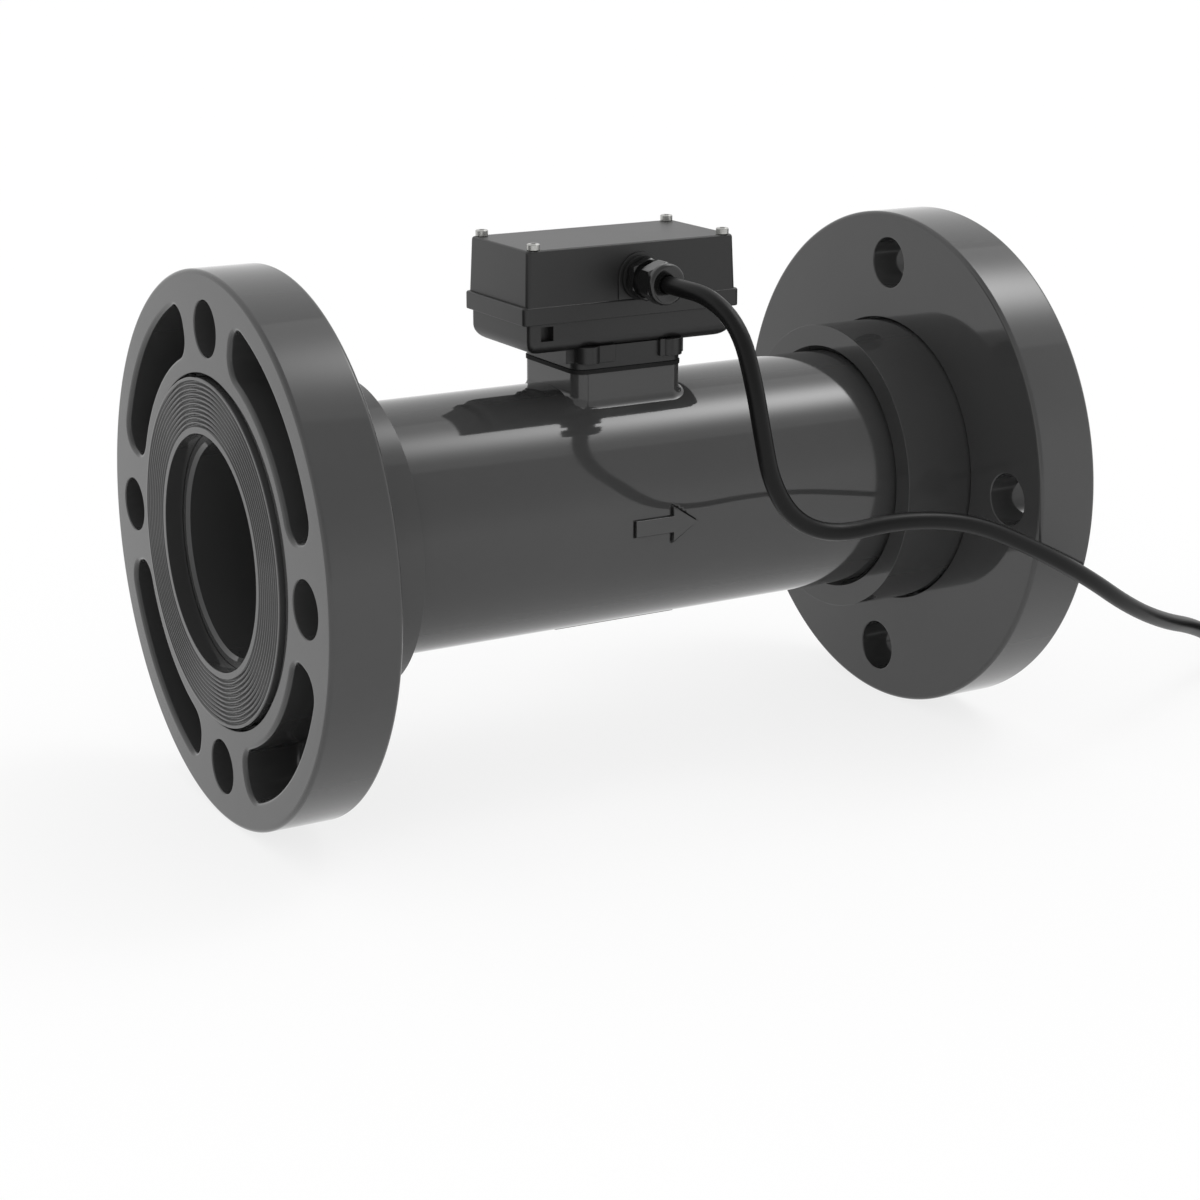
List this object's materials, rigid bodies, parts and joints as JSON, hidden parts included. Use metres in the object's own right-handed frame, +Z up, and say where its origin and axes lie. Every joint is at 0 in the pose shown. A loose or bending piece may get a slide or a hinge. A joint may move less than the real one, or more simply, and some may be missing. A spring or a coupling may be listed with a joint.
{
  "type": "turbine flow meter",
  "caption": "In-line turbine flow meter in a straight plastic pipe with loose round flanges, an electronics box on a pedestal and a long cable.",
  "frame": {"origin": "centre of the inlet flange ring's outer face, on the pipe's axis", "axes": "+X along the pipe in the direction of flow, +Z up through the electronics box, +Y away from the side the cable leaves"},
  "size_m": [0.5213, 0.2049, 0.1936],
  "materials": {
    "pipe_plastic": "moulded grey rigid plastic with a soft sheen",
    "black_plastic": "thin moulded black plastic",
    "box_plastic": "moulded dark grey plastic with a fine matt texture",
    "gland_plastic": "moulded black nylon",
    "rotor_plastic": "moulded dark grey plastic",
    "bush_plastic": "smooth bearing plastic",
    "magnet_metal": "plated magnet rod",
    "shaft_steel": "ground shaft",
    "stainless_steel": "turned and pressed stainless steel",
    "bobbin_plastic": "moulded coil former",
    "winding_copper": "enamelled copper wire, wound",
    "gasket_rubber": "matt black rubber",
    "board_laminate": "coated circuit board",
    "terminal_plastic": "moulded terminal block",
    "cable_jacket": "extruded black jacket with a soft sheen",
    "tie_plastic": "moulded black strap",
    "wire_plastic": "extruded wire insulation"
  },
  "bodies": {
    "meter": {"meter_body": "pipe_plastic", "underside_plate": "black_plastic", "upstream_hub": "pipe_plastic", "downstream_hub": "pipe_plastic", "upstream_support": "rotor_plastic", "downstream_support": "rotor_plastic", "upstream_bush": "bush_plastic", "downstream_bush": "bush_plastic", "upstream_snap_ring": "stainless_steel", "downstream_snap_ring": "stainless_steel", "pickup_bobbin": "bobbin_plastic", "pickup_winding": "winding_copper", "foot_gasket": "gasket_rubber", "foot_screws": "stainless_steel", "box_tray": "box_plastic", "cover_gasket": "gasket_rubber", "box_cover": "box_plastic", "cover_screws": "stainless_steel", "circuit_board": "board_laminate", "board_screws": "stainless_steel", "terminal_block": "terminal_plastic", "gland_seal": "gasket_rubber", "gland_body": "gland_plastic", "gland_insert": "gasket_rubber", "gland_nut": "gland_plastic", "gland_locknut": "gland_plastic", "cable_inner": "cable_jacket", "cable": "cable_jacket", "cable_coil": "cable_jacket", "cable_tie": "tie_plastic", "cable_end": "cable_jacket", "cable_wires": "wire_plastic"},
    "upstream_ring": {"upstream_flange_ring": "pipe_plastic"},
    "downstream_ring": {"downstream_flange_ring": "pipe_plastic"},
    "turbine": {"rotor": "rotor_plastic", "rotor_magnets": "magnet_metal", "rotor_shaft": "shaft_steel"}
  },
  "joints": [
    {"name": "upstream_ring_turn", "type": "hinge", "parent": "meter", "child": "upstream_ring", "pos_m": [0.0125, 0, 0], "axis": [1, 0, 0], "continuous": true},
    {"name": "downstream_ring_turn", "type": "hinge", "parent": "meter", "child": "downstream_ring", "pos_m": [0.2891, 0, 0], "axis": [1, 0, 0], "continuous": true},
    {"name": "rotor_spin", "type": "hinge", "parent": "meter", "child": "turbine", "pos_m": [0.1508, 0, 0], "axis": [1, 0, 0], "continuous": true}
  ]
}
